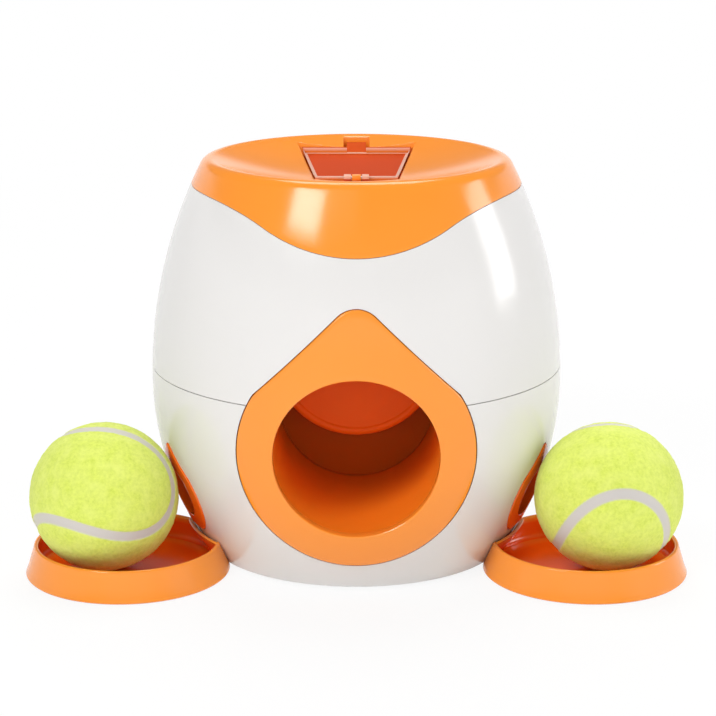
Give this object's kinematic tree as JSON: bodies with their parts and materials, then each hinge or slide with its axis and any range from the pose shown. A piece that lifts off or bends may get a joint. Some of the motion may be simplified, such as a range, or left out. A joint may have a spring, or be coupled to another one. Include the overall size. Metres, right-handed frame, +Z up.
{
  "type": "tennis ball treat dispenser",
  "caption": "Barrel-shaped dog toy: a ball pushed into the front hole swings a flap whose gear turns a treat drum, and treats slide down chutes to side trays under tennis balls.",
  "frame": {"origin": "ground plane under the middle of the object's box", "axes": "+Z up, front towards -Y, +X to the viewer's right"},
  "size_m": [0.291, 0.1829, 0.1773],
  "materials": {
    "white_abs": "gloss",
    "orange_abs": "gloss",
    "deep_orange_abs": "satin",
    "clear_pc": "gloss",
    "steel": "satin",
    "nylon": "satin",
    "felt": "matte",
    "ball_rubber": "matte",
    "foot_rubber": "matte"
  },
  "bodies": {
    "housing": {"lower_shell": "white_abs", "upper_shell": "white_abs", "top_cap": "orange_abs", "lid_pin": "steel", "hopper": "deep_orange_abs", "front_bezel": "orange_abs", "ball_pocket": "orange_abs", "treat_splitter": "deep_orange_abs", "left_chute": "deep_orange_abs", "right_chute": "deep_orange_abs", "left_port_bezel": "orange_abs", "right_port_bezel": "orange_abs", "base_screws": "steel", "hopper_screws": "steel", "rubber_feet": "foot_rubber"},
    "lid": {"treat_lid": "clear_pc"},
    "flap": {"trigger_flap": "orange_abs", "flap_axle": "steel", "sector_gear": "nylon"},
    "drum": {"treat_drum": "deep_orange_abs", "drum_axle": "steel", "drum_pinion": "nylon"},
    "left_tray": {"left_tray": "orange_abs"},
    "right_tray": {"right_tray": "orange_abs"},
    "left_ball": {"left_ball_felt": "felt", "left_ball_core": "ball_rubber"},
    "right_ball": {"right_ball_felt": "felt", "right_ball_core": "ball_rubber"}
  },
  "joints": [
    {"name": "lid_hinge", "type": "hinge", "parent": "housing", "child": "lid", "pos_m": [0, 0.00411, 0.16681], "axis": [1, 0, 0], "range_deg": [0, 105]},
    {"name": "flap_swing", "type": "hinge", "parent": "housing", "child": "flap", "pos_m": [0, -0.018, 0.1062], "axis": [1, 0, 0], "range_deg": [0, 22]},
    {"name": "drum_turn", "type": "hinge", "parent": "housing", "child": "drum", "pos_m": [0, 0.01611, 0.11862], "axis": [1, 0, 0], "range_deg": [-99, 0]},
    {"name": "left_tray_pull", "type": "slide", "parent": "housing", "child": "left_tray", "axis": [-0.9239, -0.3827, 0], "range_m": [0, 0.04]},
    {"name": "right_tray_pull", "type": "slide", "parent": "housing", "child": "right_tray", "axis": [0.9239, -0.3827, 0], "range_m": [0, 0.04]},
    {"name": "left_ball_lift", "type": "slide", "parent": "left_tray", "child": "left_ball", "axis": [-0.4619, -0.1913, 0.866], "range_m": [0, 0.06]},
    {"name": "right_ball_lift", "type": "slide", "parent": "right_tray", "child": "right_ball", "axis": [0.4619, -0.1913, 0.866], "range_m": [0, 0.06]}
  ],
  "couplings": [
    {"joint": "drum_turn", "follows": "flap_swing", "ratio": -4.5}
  ]
}
